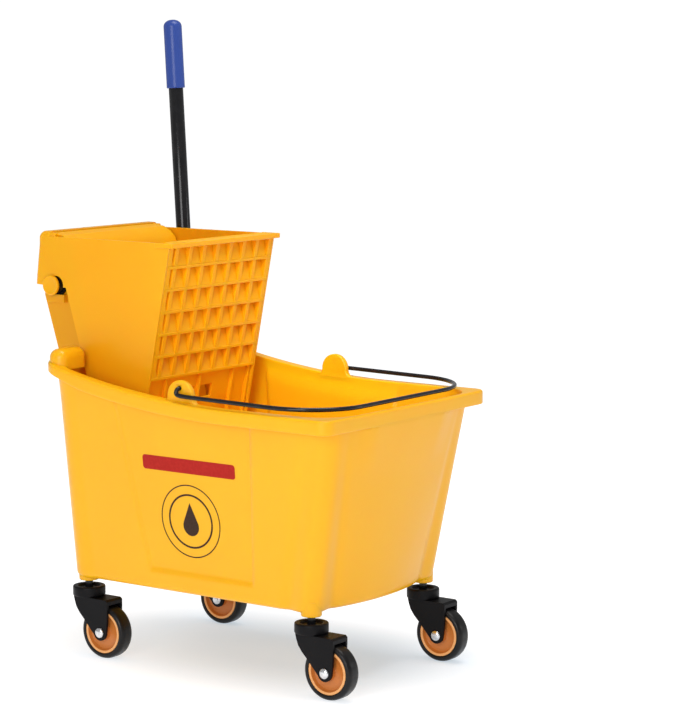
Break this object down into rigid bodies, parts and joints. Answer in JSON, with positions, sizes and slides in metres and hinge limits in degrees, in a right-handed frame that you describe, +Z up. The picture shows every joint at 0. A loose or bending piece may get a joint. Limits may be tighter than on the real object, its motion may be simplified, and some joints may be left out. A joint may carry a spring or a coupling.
{
  "type": "mop bucket with wringer",
  "caption": "Rectangular mop bucket on swivel casters with a wire bail and a side-press wringer, worked by a hand lever, hung over its rear rim.",
  "frame": {"origin": "on the floor under the middle of the whole object", "axes": "+X towards the bucket's pouring end, +Y towards the lever's side, +Z up"},
  "size_m": [0.57, 0.379, 0.8926],
  "materials": {
    "yellow_plastic": "satin",
    "orange_plastic": "satin",
    "black_plastic": "satin",
    "black_coated_steel": "gloss",
    "blue_vinyl": "gloss",
    "copper_nylon": "satin",
    "tyre_rubber": "matte",
    "zinc_steel": "zinc plated",
    "spring_steel": "oiled"
  },
  "bodies": {
    "bucket": {"bucket_body": "yellow_plastic", "front_near_stem": "black_coated_steel", "front_far_stem": "black_coated_steel", "rear_near_stem": "black_coated_steel", "rear_far_stem": "black_coated_steel"},
    "bail": {"bail_handle": "black_coated_steel"},
    "wringer": {"wringer_housing": "yellow_plastic", "front_grid": "orange_plastic", "lower_front_panel": "orange_plastic", "front_collar": "yellow_plastic", "drain_grate": "orange_plastic", "hanger_bracket": "yellow_plastic", "near_shaft_bush": "black_plastic", "far_shaft_bush": "black_plastic", "plate_hinge_pin": "zinc_steel", "return_spring": "spring_steel"},
    "lever": {"cross_shaft": "black_coated_steel", "shaft_end_cap": "yellow_plastic", "lever_socket": "black_plastic", "lever_tube": "black_coated_steel", "lever_clamp_bolt": "zinc_steel", "lever_grip": "blue_vinyl", "near_crank_arm": "black_coated_steel", "near_crank_arm_pin": "zinc_steel", "near_crank_arm_roller": "black_plastic", "far_crank_arm": "black_coated_steel", "far_crank_arm_pin": "zinc_steel", "far_crank_arm_roller": "black_plastic"},
    "press_plate": {"press_plate": "orange_plastic"},
    "front_near_caster": {"front_near_swivel_cap": "black_plastic", "front_near_fork": "black_plastic", "front_near_axle_bolt": "zinc_steel", "front_near_axle_nut": "zinc_steel"},
    "front_near_wheel": {"front_near_hub": "copper_nylon", "front_near_tyre": "tyre_rubber"},
    "front_far_caster": {"front_far_swivel_cap": "black_plastic", "front_far_fork": "black_plastic", "front_far_axle_bolt": "zinc_steel", "front_far_axle_nut": "zinc_steel"},
    "front_far_wheel": {"front_far_hub": "copper_nylon", "front_far_tyre": "tyre_rubber"},
    "rear_near_caster": {"rear_near_swivel_cap": "black_plastic", "rear_near_fork": "black_plastic", "rear_near_axle_bolt": "zinc_steel", "rear_near_axle_nut": "zinc_steel"},
    "rear_near_wheel": {"rear_near_hub": "copper_nylon", "rear_near_tyre": "tyre_rubber"},
    "rear_far_caster": {"rear_far_swivel_cap": "black_plastic", "rear_far_fork": "black_plastic", "rear_far_axle_bolt": "zinc_steel", "rear_far_axle_nut": "zinc_steel"},
    "rear_far_wheel": {"rear_far_hub": "copper_nylon", "rear_far_tyre": "tyre_rubber"}
  },
  "joints": [
    {"name": "wringer_lift", "type": "slide", "parent": "bucket", "child": "wringer", "axis": [0, 0, 1], "range_m": [0, 0.25]},
    {"name": "lever_pull", "type": "hinge", "parent": "wringer", "child": "lever", "pos_m": [-0.252, 0, 0.5195], "axis": [0, 1, 0], "range_deg": [0, 85], "stiffness_Nm_per_rad": 0.9, "springref_deg": -28.65},
    {"name": "plate_press", "type": "hinge", "parent": "wringer", "child": "press_plate", "pos_m": [-0.158, 0, 0.334], "axis": [0, 1, 0], "range_deg": [0, 12.8]},
    {"name": "bail_swing", "type": "hinge", "parent": "bucket", "child": "bail", "pos_m": [0.03, 0, 0.402], "axis": [0, -1, 0], "range_deg": [0, 100]},
    {"name": "front_near_swivel", "type": "hinge", "parent": "bucket", "child": "front_near_caster", "pos_m": [0.214, -0.1315, 0.1], "axis": [0, 0, 1], "continuous": true},
    {"name": "front_near_roll", "type": "hinge", "parent": "front_near_caster", "child": "front_near_wheel", "pos_m": [0.247, -0.1315, 0.038], "axis": [0, 1, 0], "continuous": true},
    {"name": "front_far_swivel", "type": "hinge", "parent": "bucket", "child": "front_far_caster", "pos_m": [0.214, 0.1315, 0.1], "axis": [0, 0, 1], "continuous": true},
    {"name": "front_far_roll", "type": "hinge", "parent": "front_far_caster", "child": "front_far_wheel", "pos_m": [0.247, 0.1315, 0.038], "axis": [0, 1, 0], "continuous": true},
    {"name": "rear_near_swivel", "type": "hinge", "parent": "bucket", "child": "rear_near_caster", "pos_m": [-0.177, -0.1315, 0.1], "axis": [0, 0, 1], "continuous": true},
    {"name": "rear_near_roll", "type": "hinge", "parent": "rear_near_caster", "child": "rear_near_wheel", "pos_m": [-0.144, -0.1315, 0.038], "axis": [0, 1, 0], "continuous": true},
    {"name": "rear_far_swivel", "type": "hinge", "parent": "bucket", "child": "rear_far_caster", "pos_m": [-0.177, 0.1315, 0.1], "axis": [0, 0, 1], "continuous": true},
    {"name": "rear_far_roll", "type": "hinge", "parent": "rear_far_caster", "child": "rear_far_wheel", "pos_m": [-0.144, 0.1315, 0.038], "axis": [0, 1, 0], "continuous": true}
  ],
  "couplings": [
    {"joint": "plate_press", "follows": "lever_pull", "ratio": 0.15}
  ]
}
